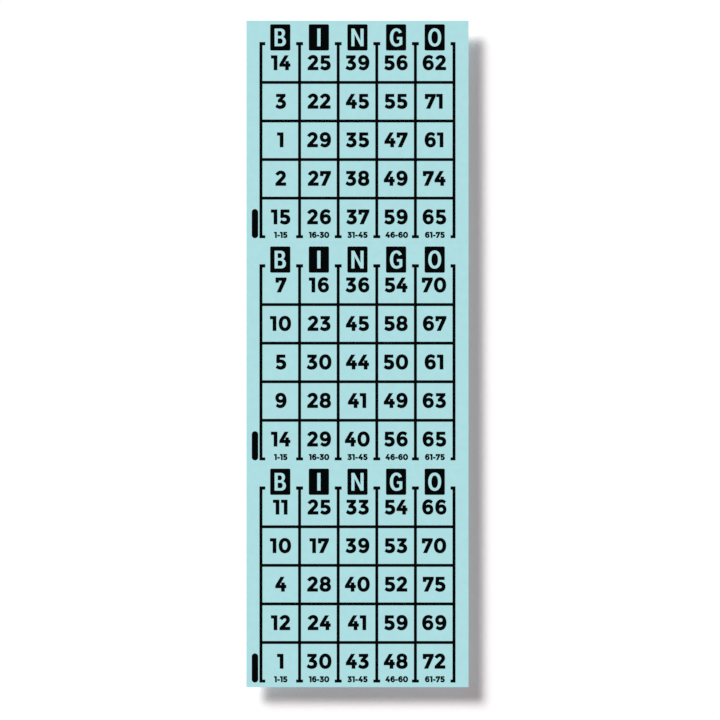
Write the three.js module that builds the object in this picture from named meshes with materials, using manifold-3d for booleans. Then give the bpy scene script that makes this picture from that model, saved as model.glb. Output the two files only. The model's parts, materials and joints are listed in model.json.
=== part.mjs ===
// A strip of three bingo cards: one printed card stock sheet with two perforated fold lines.
// The strip lies flat, printed faces up (+Z), with the first card at +Y and the fold lines along X.
// The origin is the middle of the strip's back. Sizes are in millimetres.
import * as THREE from "three";
import { mergeVertices } from "three/addons/utils/BufferGeometryUtils.js";
import Module from "manifold-3d";

const wasm = await Module();
wasm.setup();

// Card stock
const cardPitch = 101.6; // from one fold line to the next, which is also the strip's width
const cardThickness = 0.3;
const slitWidth = 0.3; // gap that a perforation leaves between two cards
const tieWidth = 1.2; // a tie is the paper left standing between two slits
const tiePitch = 6.35;
const tieClearance = 0.05; // between a tie's tip and the card that folds away from it

// Printing ink
const inkThickness = 0.03;
const cutOverrun = 0.5; // how far a cut runs past what it cuts

// Ruled grid
const gridSideMargin = 6.1; // from the card's side to the outer face of the outer bar
const gridTopMargin = 10.05; // from the fold line to the head of the first row
const gridFootMargin = 2.25;
const barWidth = 1.12;
const ruleWidth = 1.1;
const serifReach = 0.9; // how far a serif stands out beside its bar
const firstSerifReach = 1.3;
const serifRise = 0.14; // how far the serifs at the head stand above the open cells

// Numbers
const numeralHeight = 6.6;
const numeralRise = 0.23; // how far the middle row's numbers sit above the middle of their cells
const numeralPitchShare = 0.993; // the numbers' columns stand a little closer than the bars
const numeralRowShare = 0.999; // and their rows than the rules

// Range labels, the small figures at the foot of the columns
const labelHeight = 2.55;
const labelRise = 0.12; // how far their foot is above the grid's
const labelStepShares = [0, -0.007, 0, 0.027, 0.018]; // of the column pitch, to the right of the numbers

// Letter tiles above the columns
const tileWidth = 9;
const tileTopMargin = 1.78;
const tileNumberGap = 2.4; // from a tile's foot to the head of the first row's numbers
const tileCornerRadius = 0.5;
const letterMargin = 1.7; // ink above and below a letter

// Pill at the lower left of each card, in the margin beside the grid
const pillLength = 13.1;
const pillSideMargin = 2.58;
const pillGridGap = 0.83;

// Roundness of the printing
const curveStep = 1.45; // about the length of a facet on a round stretch
const fewestFacets = 2;
const roundShare = 0.6; // how far a curve's handles reach towards the corner that it rounds

// Colours
const paperColour = 0xafdee2;
const inkColour = 0x14181b;
const inkTint = 0.02; // the paper's colour times this is the ink's

// What the cards say, from the first card down
const cards = [
  {
    name: "top",
    place: 1,
    numbers: [
      [14, 25, 39, 56, 62],
      [3, 22, 45, 55, 71],
      [1, 29, 35, 47, 61],
      [2, 27, 38, 49, 74],
      [15, 26, 37, 59, 65],
    ],
  },
  {
    name: "middle",
    place: 0,
    numbers: [
      [7, 16, 36, 54, 70],
      [10, 23, 45, 58, 67],
      [5, 30, 44, 50, 61],
      [9, 28, 41, 49, 63],
      [14, 29, 40, 56, 65],
    ],
  },
  {
    name: "bottom",
    place: -1,
    numbers: [
      [11, 25, 33, 54, 66],
      [10, 17, 39, 53, 70],
      [4, 28, 40, 52, 75],
      [12, 24, 41, 59, 69],
      [1, 30, 43, 48, 72],
    ],
  },
];
const columnLetters = ["B", "I", "N", "G", "O"];
const numbersToLetter = 15; // B has the numbers 1 to 15, I the next 15, and so on
const columnCount = columnLetters.length;
const rowCount = cards[0].numbers.length;

// Outlines of the figures and letters, as shares of their height, with x from their own left edge
// and y from the foot. The first entry is the start. Two numbers are a straight line's end. Four are
// a round stretch: the corner that it rounds, and its end. The lines after the first are holes.
const ovalShares = (left, foot, right, top) => [
  [(left + right) / 2, top],
  [right, top, right, (foot + top) / 2],
  [right, foot, (left + right) / 2, foot],
  [left, foot, left, (foot + top) / 2],
  [left, top, (left + right) / 2, top],
];

const glyphShares = {
  0: { left: 0.082, width: 0.821, right: 0.08, outlines: [
    ovalShares(0, -0.016, 0.821, 1.01),
    ovalShares(0.218, 0.178, 0.603, 0.822),
  ] },
  1: { left: 0.037, width: 0.409, right: 0.119, outlines: [
    [[0, 0.99], [0.409, 0.99], [0.409, 0], [0.192, 0], [0.192, 0.808], [0.005, 0.808]],
  ] },
  2: { left: 0.068, width: 0.705, right: 0.074, outlines: [
    [
      [0, 0.8],
      [0.139, 1.018, 0.353, 1.018],
      [0.685, 1.018, 0.685, 0.705],
      [0.685, 0.593, 0.6, 0.49],
      [0.325, 0.192],
      [0.705, 0.192],
      [0.705, 0],
      [0, 0],
      [0, 0.155],
      [0.39, 0.56],
      [0.466, 0.64, 0.466, 0.7],
      [0.466, 0.822, 0.335, 0.822],
      [0.245, 0.822, 0.165, 0.695],
    ],
  ] },
  3: { left: 0.08, width: 0.69, right: 0.08, outlines: [
    [
      [0.034, 0.99],
      [0.65, 0.99],
      [0.65, 0.845],
      [0.43, 0.605],
      [0.69, 0.57, 0.69, 0.315],
      [0.69, -0.016, 0.3, -0.016],
      [0.12, -0.016, -0.01, 0.105],
      [0.085, 0.28],
      [0.175, 0.182, 0.285, 0.182],
      [0.466, 0.182, 0.466, 0.315],
      [0.466, 0.445, 0.28, 0.445],
      [0.155, 0.445],
      [0.155, 0.585],
      [0.37, 0.808],
      [0.034, 0.808],
    ],
  ] },
  4: { left: 0.056, width: 0.726, right: 0.057, outlines: [
    [
      [0.358, 0.99],
      [0.59, 0.99],
      [0.26, 0.425],
      [0.41, 0.425],
      [0.41, 0.6],
      [0.62, 0.6],
      [0.62, 0.425],
      [0.726, 0.425],
      [0.726, 0.24],
      [0.62, 0.24],
      [0.62, 0],
      [0.405, 0],
      [0.405, 0.24],
      [0, 0.24],
      [0, 0.39],
    ],
  ] },
  5: { left: 0.106, width: 0.68, right: 0.063, outlines: [
    [
      [0.04, 0.99],
      [0.615, 0.99],
      [0.615, 0.808],
      [0.238, 0.808],
      [0.232, 0.65],
      [0.31, 0.65],
      [0.68, 0.65, 0.68, 0.318],
      [0.68, -0.016, 0.3, -0.016],
      [0.13, -0.016, -0.008, 0.1],
      [0.085, 0.28],
      [0.18, 0.188, 0.28, 0.188],
      [0.455, 0.188, 0.455, 0.32],
      [0.455, 0.456, 0.265, 0.456],
      [0.17, 0.456, 0.1, 0.42],
      [0.02, 0.47],
    ],
  ] },
  6: { left: 0.094, width: 0.74, right: 0.074, outlines: [
    [
      [0.7, 0.9],
      [0.585, 1.016, 0.42, 1.016],
      [0, 1.016, 0, 0.485],
      [0, -0.01, 0.385, -0.01],
      [0.74, -0.01, 0.74, 0.33],
      [0.74, 0.667, 0.42, 0.667],
      [0.3, 0.667, 0.225, 0.6],
      [0.25, 0.83, 0.43, 0.83],
      [0.52, 0.83, 0.605, 0.745],
    ],
    ovalShares(0.237, 0.182, 0.541, 0.48),
  ] },
  7: { left: 0.056, width: 0.727, right: 0.027, outlines: [
    [
      [0.005, 0.99],
      [0.727, 0.99],
      [0.727, 0.85],
      [0.34, 0],
      [0.095, 0],
      [0.455, 0.8],
      [0.203, 0.8],
      [0.203, 0.67],
      [0.005, 0.67],
    ],
  ] },
  8: { left: 0.076, width: 0.757, right: 0.072, outlines: [
    [
      [0.378, 1.016],
      [0.718, 1.016, 0.718, 0.735],
      [0.718, 0.6, 0.65, 0.525],
      [0.757, 0.445, 0.757, 0.285],
      [0.757, -0.016, 0.378, -0.016],
      [0, -0.016, 0, 0.285],
      [0, 0.445, 0.107, 0.525],
      [0.038, 0.6, 0.038, 0.735],
      [0.038, 1.016, 0.378, 1.016],
    ],
    ovalShares(0.238, 0.596, 0.518, 0.838),
    ovalShares(0.218, 0.174, 0.538, 0.434),
  ] },
  9: { left: 0.095, width: 0.74, right: 0.075, outlines: [
    [
      [0.035, 0.105],
      [0.155, -0.014, 0.32, -0.014],
      [0.74, -0.014, 0.74, 0.515],
      [0.74, 1.016, 0.355, 1.016],
      [0, 1.016, 0, 0.68],
      [0, 0.35, 0.32, 0.35],
      [0.44, 0.35, 0.515, 0.415],
      [0.49, 0.184, 0.31, 0.184],
      [0.22, 0.184, 0.13, 0.265],
    ],
    ovalShares(0.2, 0.536, 0.505, 0.826),
  ] },
  "-": { left: 0.07, width: 0.35, right: 0.07, outlines: [
    [[0, 0.455], [0.35, 0.455], [0.35, 0.275], [0, 0.275]],
  ] },
  B: { width: 0.65, eyes: ["b_upper_eye", "b_lower_eye"], outlines: [
    [
      [0, 1],
      [0.34, 1],
      [0.6, 1, 0.6, 0.745],
      [0.6, 0.6, 0.5, 0.53],
      [0.65, 0.46, 0.65, 0.28],
      [0.65, 0, 0.37, 0],
      [0, 0],
    ],
    [[0.2, 0.83], [0.32, 0.83], [0.4, 0.83, 0.4, 0.715], [0.4, 0.6, 0.32, 0.6], [0.2, 0.6]],
    [[0.2, 0.43], [0.34, 0.43], [0.44, 0.43, 0.44, 0.3], [0.44, 0.17, 0.34, 0.17], [0.2, 0.17]],
  ] },
  I: { width: 0.21, outlines: [
    [[0, 1], [0.21, 1], [0.21, 0], [0, 0]],
  ] },
  N: { width: 0.7, outlines: [
    [
      [0, 0],
      [0, 1],
      [0.19, 1],
      [0.5, 0.39],
      [0.5, 1],
      [0.7, 1],
      [0.7, 0],
      [0.51, 0],
      [0.2, 0.61],
      [0.2, 0],
    ],
  ] },
  G: { width: 0.71, outlines: [
    [
      [0.69, 0.77],
      [0.6, 1.016, 0.375, 1.016],
      [0, 1.016, 0, 0.5],
      [0, -0.016, 0.37, -0.016],
      [0.57, -0.016, 0.71, 0.12],
      [0.71, 0.54],
      [0.39, 0.54],
      [0.39, 0.37],
      [0.52, 0.37],
      [0.52, 0.21],
      [0.46, 0.165, 0.38, 0.165],
      [0.205, 0.165, 0.205, 0.5],
      [0.205, 0.835, 0.375, 0.835],
      [0.465, 0.835, 0.505, 0.7],
    ],
  ] },
  O: { width: 0.74, eyes: ["o_eye"], outlines: [
    ovalShares(0, -0.016, 0.74, 1.016),
    ovalShares(0.205, 0.17, 0.535, 0.83),
  ] },
};

// Places that follow from the sizes
const cardHalf = cardPitch / 2;
const inkTop = cardThickness + inkThickness;
const gridLeft = -cardHalf + gridSideMargin;
const gridRight = cardHalf - gridSideMargin;
const gridFoot = -cardHalf + gridFootMargin;
const gridHead = cardHalf - gridTopMargin;
const serifHead = gridHead + serifRise;
const columnPitch = (gridRight - gridLeft - barWidth) / columnCount;
const rowPitch = (gridHead - gridFoot - ruleWidth) / rowCount;
const barPlaces = Array.from({ length: columnCount + 1 }, (_, bar) => gridLeft + bar * columnPitch);
const columnMiddle = (column) => (column - (columnCount - 1) / 2) * columnPitch;
const gridMiddle = (gridHead + gridFoot) / 2;
const numeralMiddle = (row) =>
  gridMiddle + numeralRise - (row - (rowCount - 1) / 2) * rowPitch * numeralRowShare;
const tileHead = cardHalf - tileTopMargin;
const tileFoot = numeralMiddle(0) + numeralHeight / 2 + tileNumberGap;
const letterHeight = tileHead - tileFoot - 2 * letterMargin;
const pillWidth = gridSideMargin - pillSideMargin - pillGridGap;

const facetsOn = (length) => Math.max(fewestFacets, Math.round(length / curveStep));

// One closed path of an outline, at its height and with its foot's left end at x, y. Long round
// stretches get more facets than short ones.
function pathOf(outline, height, x, y, Kind = THREE.Path) {
  const at = (u, v) => new THREE.Vector2(x + u * height, y + v * height);
  const points = [at(...outline[0])];
  for (const entry of outline.slice(1)) {
    const from = points.at(-1);
    const to = at(...entry.slice(-2));
    if (entry.length === 2) {
      points.push(to);
      continue;
    }
    const corner = at(entry[0], entry[1]);
    const curve = new THREE.CubicBezierCurve(
      from,
      from.clone().lerp(corner, roundShare),
      to.clone().lerp(corner, roundShare),
      to,
    );
    points.push(...curve.getPoints(facetsOn(from.distanceTo(to))).slice(1));
  }
  const closes = outline.at(-1).slice(-2).every((share, i) => share === outline[0][i]);
  if (closes) points.pop();
  // Every path runs anticlockwise, because an extrusion turns its outer path and its holes alike.
  if (THREE.ShapeUtils.isClockWise(points)) points.reverse();
  return new Kind(points);
}

// A flat figure or letter with its holes.
function glyphShape(glyph, height, x, y) {
  const [outer, ...holes] = glyphShares[glyph].outlines;
  const shape = pathOf(outer, height, x, y, THREE.Shape);
  shape.holes = holes.map((hole) => pathOf(hole, height, x, y));
  return shape;
}

// The shapes of a line of figures that is centred on x by its advance widths.
function lineOfGlyphs(text, height, x, y) {
  const glyphs = [...text];
  const advance = ({ left, width, right }) => (left + width + right) * height;
  const length = glyphs.reduce((sum, g) => sum + advance(glyphShares[g]), 0);
  let pen = x - length / 2;
  return glyphs.map((g) => {
    const shape = glyphShape(g, height, pen + glyphShares[g].left * height, y);
    pen += advance(glyphShares[g]);
    return shape;
  });
}

function rectangle(left, foot, right, top, Kind = THREE.Shape) {
  return new Kind([
    new THREE.Vector2(left, foot),
    new THREE.Vector2(right, foot),
    new THREE.Vector2(right, top),
    new THREE.Vector2(left, top),
  ]);
}

// A rectangle with round corners.
function roundRectangle(left, foot, right, top, radius) {
  const shape = new THREE.Shape();
  const facets = facetsOn(radius);
  const corners = [
    [right - radius, top - radius, 0],
    [left + radius, top - radius, 1],
    [left + radius, foot + radius, 2],
    [right - radius, foot + radius, 3],
  ];
  const points = corners.flatMap(([cx, cy, quarter]) =>
    Array.from({ length: facets + 1 }, (_, i) => {
      const angle = ((quarter + i / facets) * Math.PI) / 2;
      return new THREE.Vector2(cx + radius * Math.cos(angle), cy + radius * Math.sin(angle));
    }),
  );
  return shape.setFromPoints(points);
}

// A shape as a plate between two heights.
function plate(shape, low, high) {
  const geometry = new THREE.ExtrudeGeometry(shape, { depth: high - low, bevelEnabled: false });
  return geometry.translate(0, 0, low);
}

function solidOf(geometry) {
  const bare = geometry.clone();
  bare.deleteAttribute("normal");
  bare.deleteAttribute("uv");
  const merged = mergeVertices(bare);
  return new wasm.Manifold(
    new wasm.Mesh({
      numProp: 3,
      vertProperties: new Float32Array(merged.attributes.position.array),
      triVerts: new Uint32Array(merged.index.array),
    }),
  );
}

function geometryOf(solid) {
  const mesh = solid.getMesh();
  const geometry = new THREE.BufferGeometry();
  geometry.setAttribute("position", new THREE.BufferAttribute(mesh.vertProperties, 3));
  geometry.setIndex(new THREE.BufferAttribute(mesh.triVerts, 1));
  const flat = geometry.toNonIndexed();
  flat.computeVertexNormals();
  return flat;
}

const join = (solids) => solids.reduce((whole, solid) => whole.add(solid));

// Gives each facet of a card its vertex colours: ink where it reaches above the stock.
function tintPrint(geometry) {
  const { array, count } = geometry.attributes.position;
  const colours = new Float32Array(count * 3).fill(1);
  for (let corner = 0; corner < count; corner += 3) {
    const heights = [0, 1, 2].map((i) => array[(corner + i) * 3 + 2]);
    const printed = Math.max(...heights) > cardThickness + inkThickness / 2;
    if (printed) colours.fill(inkTint, corner * 3, (corner + 3) * 3);
  }
  geometry.setAttribute("color", new THREE.BufferAttribute(colours, 3));
  return geometry;
}

const cardMaterial = new THREE.MeshStandardMaterial({
  color: paperColour,
  roughness: 0.85,
  metalness: 0,
  vertexColors: true,
});
const inkMaterial = new THREE.MeshStandardMaterial({
  color: inkColour,
  roughness: 0.55,
  metalness: 0,
});

function part(name, geometry, material) {
  const mesh = new THREE.Mesh(geometry, material);
  mesh.name = name;
  return mesh;
}

// A shape printed on the card's face: a plate as thick as the ink.
const printed = (name, shape) => part(name, plate(shape, cardThickness, inkTop), inkMaterial);

// The ties that stand out from one edge of the middle card into the slit beside it.
function ties(edge, outward) {
  const count = Math.floor(cardPitch / tiePitch);
  const tip = edge + outward * (slitWidth - tieClearance);
  const root = edge - outward * slitWidth;
  return Array.from({ length: count }, (_, i) => {
    const x = (i - (count - 1) / 2) * tiePitch;
    const shape = rectangle(x - tieWidth / 2, Math.min(root, tip), x + tieWidth / 2, Math.max(root, tip));
    return solidOf(plate(shape, 0, cardThickness));
  });
}

// One card of stock. An edge on a fold line stands back by half a slit. The printed figures stand on
// its face and are rooted half way into it, so that the card is one solid.
function cardStock(card) {
  const folds = (side) => cards.some((other) => other.place === card.place + side);
  const reach = (side) => cardHalf - (folds(side) ? slitWidth / 2 : 0);
  const stock = rectangle(-cardHalf, -reach(-1), cardHalf, reach(1));
  const solids = [solidOf(plate(stock, 0, cardThickness))];
  if (card.place === 0) solids.push(...ties(reach(1), 1), ...ties(-reach(-1), -1));
  const print = (shape) => solidOf(plate(shape, cardThickness / 2, inkTop));
  solids.push(...numberShapes(card).map(print), ...labelShapes().map(print));
  return tintPrint(geometryOf(join(solids)));
}

// The numbers in the cells, each centred in its cell.
function numberShapes(card) {
  return card.numbers.flatMap((row, r) =>
    row.flatMap((number, c) => {
      const x = columnMiddle(c) * numeralPitchShare;
      return lineOfGlyphs(String(number), numeralHeight, x, numeralMiddle(r) - numeralHeight / 2);
    }),
  );
}

// The small labels at the foot of the columns, which give the numbers that a column can have.
function labelShapes() {
  return columnLetters.flatMap((_, c) => {
    const range = `${c * numbersToLetter + 1}-${(c + 1) * numbersToLetter}`;
    const x = columnMiddle(c) * numeralPitchShare + labelStepShares[c] * columnPitch;
    return lineOfGlyphs(range, labelHeight, x, gridFoot + labelRise);
  });
}

// The ruled grid: one plate of ink, from which the cells are cut. The cells of the first and last row
// are open between their bars' serifs, of which those at the head are a little taller.
function grid() {
  const cuts = [];
  for (let column = 0; column < columnCount; column++) {
    const left = barPlaces[column] + barWidth;
    const right = barPlaces[column + 1];
    for (let row = 0; row < rowCount; row++) {
      const foot = gridFoot + row * rowPitch + ruleWidth;
      cuts.push(rectangle(left, foot, right, foot + rowPitch - ruleWidth));
    }
    const mouthLeft = left + (column === 0 ? firstSerifReach : serifReach);
    const mouthRight = right - serifReach;
    cuts.push(rectangle(mouthLeft, gridFoot - cutOverrun, mouthRight, gridFoot + ruleWidth + cutOverrun));
    cuts.push(rectangle(mouthLeft, gridHead - ruleWidth - cutOverrun, mouthRight, serifHead + cutOverrun));
  }
  const sheet = solidOf(plate(rectangle(gridLeft, gridFoot, gridRight, serifHead), cardThickness, inkTop));
  const cutter = (shape) => solidOf(plate(shape, cardThickness - cutOverrun, inkTop + cutOverrun));
  return geometryOf(cuts.reduce((whole, shape) => whole.subtract(cutter(shape)), sheet));
}

// A letter tile: a plate of ink with the letter left bare. The eyes of a letter, which lie inside it,
// are plates of their own.
function letterTile(card, letter, column) {
  const { width, eyes = [], outlines } = glyphShares[letter];
  const middle = columnMiddle(column);
  const x = middle - (width * letterHeight) / 2;
  const y = tileFoot + letterMargin;
  const right = middle + tileWidth / 2;
  const shape = roundRectangle(middle - tileWidth / 2, tileFoot, right, tileHead, tileCornerRadius);
  shape.holes = [pathOf(outlines[0], letterHeight, x, y)];
  const tile = printed(`${card.name}_tile_${letter.toLowerCase()}`, shape);
  const eyeParts = eyes.map((eye, i) =>
    printed(`${card.name}_${eye}`, pathOf(outlines[i + 1], letterHeight, x, y, THREE.Shape)),
  );
  return [tile, ...eyeParts];
}

function pill(card) {
  const left = -cardHalf + pillSideMargin;
  const right = left + pillWidth;
  const shape = roundRectangle(left, gridFoot, right, gridFoot + pillLength, pillWidth / 2);
  return printed(`${card.name}_pill`, shape);
}

// Everything on one card, in a group at the card's place along the strip.
function cardGroup(card) {
  const group = new THREE.Group();
  group.position.y = card.place * cardPitch;
  group.add(part(`card_${card.name}`, cardStock(card), cardMaterial));
  group.add(part(`${card.name}_grid`, grid(), inkMaterial));
  group.add(pill(card));
  columnLetters.forEach((letter, column) => group.add(...letterTile(card, letter, column)));
  return group;
}

const strip = new THREE.Group();
cards.forEach((card) => strip.add(cardGroup(card)));

export default strip;
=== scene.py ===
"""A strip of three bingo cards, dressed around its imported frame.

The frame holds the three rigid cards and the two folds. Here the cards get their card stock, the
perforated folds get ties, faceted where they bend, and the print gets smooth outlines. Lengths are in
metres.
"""

import json
import math
from collections import namedtuple

import bpy
import numpy as np
from bpy.props import FloatProperty, FloatVectorProperty, IntProperty, PointerProperty
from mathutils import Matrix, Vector
from mathutils.geometry import delaunay_2d_cdt


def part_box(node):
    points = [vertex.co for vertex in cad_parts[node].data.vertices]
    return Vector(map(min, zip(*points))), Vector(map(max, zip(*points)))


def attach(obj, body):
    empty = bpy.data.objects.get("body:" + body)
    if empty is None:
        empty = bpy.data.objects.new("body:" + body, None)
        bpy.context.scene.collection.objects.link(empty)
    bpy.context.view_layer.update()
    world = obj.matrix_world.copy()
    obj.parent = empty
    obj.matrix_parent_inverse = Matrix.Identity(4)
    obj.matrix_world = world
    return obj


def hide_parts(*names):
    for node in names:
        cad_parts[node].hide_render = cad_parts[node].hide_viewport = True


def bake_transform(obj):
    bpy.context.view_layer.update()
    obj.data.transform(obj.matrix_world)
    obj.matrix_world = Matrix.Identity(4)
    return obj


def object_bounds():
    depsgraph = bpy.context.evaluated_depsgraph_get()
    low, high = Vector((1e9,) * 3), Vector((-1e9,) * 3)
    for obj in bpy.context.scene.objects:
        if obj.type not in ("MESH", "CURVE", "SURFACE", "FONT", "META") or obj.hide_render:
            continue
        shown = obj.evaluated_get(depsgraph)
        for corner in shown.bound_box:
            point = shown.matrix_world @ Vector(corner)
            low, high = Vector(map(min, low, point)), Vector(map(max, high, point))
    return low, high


bl_info = {
    "name": "Bingo card strip",
    "version": (1, 0, 0),
    "blender": (4, 5, 0),
    "location": "View3D > Sidebar > Bingo Strip",
    "description": "Card stock, perforated folds and print for a strip of three bingo cards",
    "category": "Add Mesh",
}

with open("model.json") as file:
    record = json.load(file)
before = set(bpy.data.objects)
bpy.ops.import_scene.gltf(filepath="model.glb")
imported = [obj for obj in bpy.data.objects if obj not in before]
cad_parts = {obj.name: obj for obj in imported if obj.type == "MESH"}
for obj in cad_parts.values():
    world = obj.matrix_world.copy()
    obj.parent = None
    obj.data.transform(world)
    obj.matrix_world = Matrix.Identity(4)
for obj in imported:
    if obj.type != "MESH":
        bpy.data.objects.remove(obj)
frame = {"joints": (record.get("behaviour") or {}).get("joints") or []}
CAD_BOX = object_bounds()

MM = 0.001

# What the cards say, from the first card down
CARDS = {
    "top": ((14, 25, 39, 56, 62), (3, 22, 45, 55, 71), (1, 29, 35, 47, 61), (2, 27, 38, 49, 74),
            (15, 26, 37, 59, 65)),
    "middle": ((7, 16, 36, 54, 70), (10, 23, 45, 58, 67), (5, 30, 44, 50, 61), (9, 28, 41, 49, 63),
               (14, 29, 40, 56, 65)),
    "bottom": ((11, 25, 33, 54, 66), (10, 17, 39, 53, 70), (4, 28, 40, 52, 75), (12, 24, 41, 59, 69),
               (1, 30, 43, 48, 72)),
}
TITLE = "BINGO"
COLUMNS = len(TITLE)
ROWS = len(CARDS["top"])
NUMBERS_TO_LETTER = 15
LABEL_STEP_SHARES = (0, 0, 0, 0.026, 0.016)  # of the column pitch, to the right of the numbers
LABEL_FIGURES = {"4": "small 4"}  # figures that the labels have in a form of their own
LABEL_KERNS = {  # what is added between two figures on a label, as a share of their height
    ("1", "5"): -0.05,
    ("1", "6"): -0.06,
    ("3", "0"): -0.04,
    ("6", "0"): -0.03,
    ("-", "small 4"): 0.07,
}

# Outlines of the figures and letters, as shares of their height, with x from their own left edge and
# y from the foot. The first entry of an outline is its start. Two numbers are a straight line's end.
# Four are a round stretch: the corner that it rounds, and its end. Outlines after the first are holes.
Glyph = namedtuple("Glyph", "left width right outlines")


def oval(left, foot, right, top):
    """An oval outline in four round stretches, one for each corner of its box."""
    middle, waist = (left + right) / 2, (foot + top) / 2
    return (
        (middle, top),
        (right, top, right, waist),
        (right, foot, middle, foot),
        (left, foot, left, waist),
        (left, top, middle, top),
    )


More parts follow.
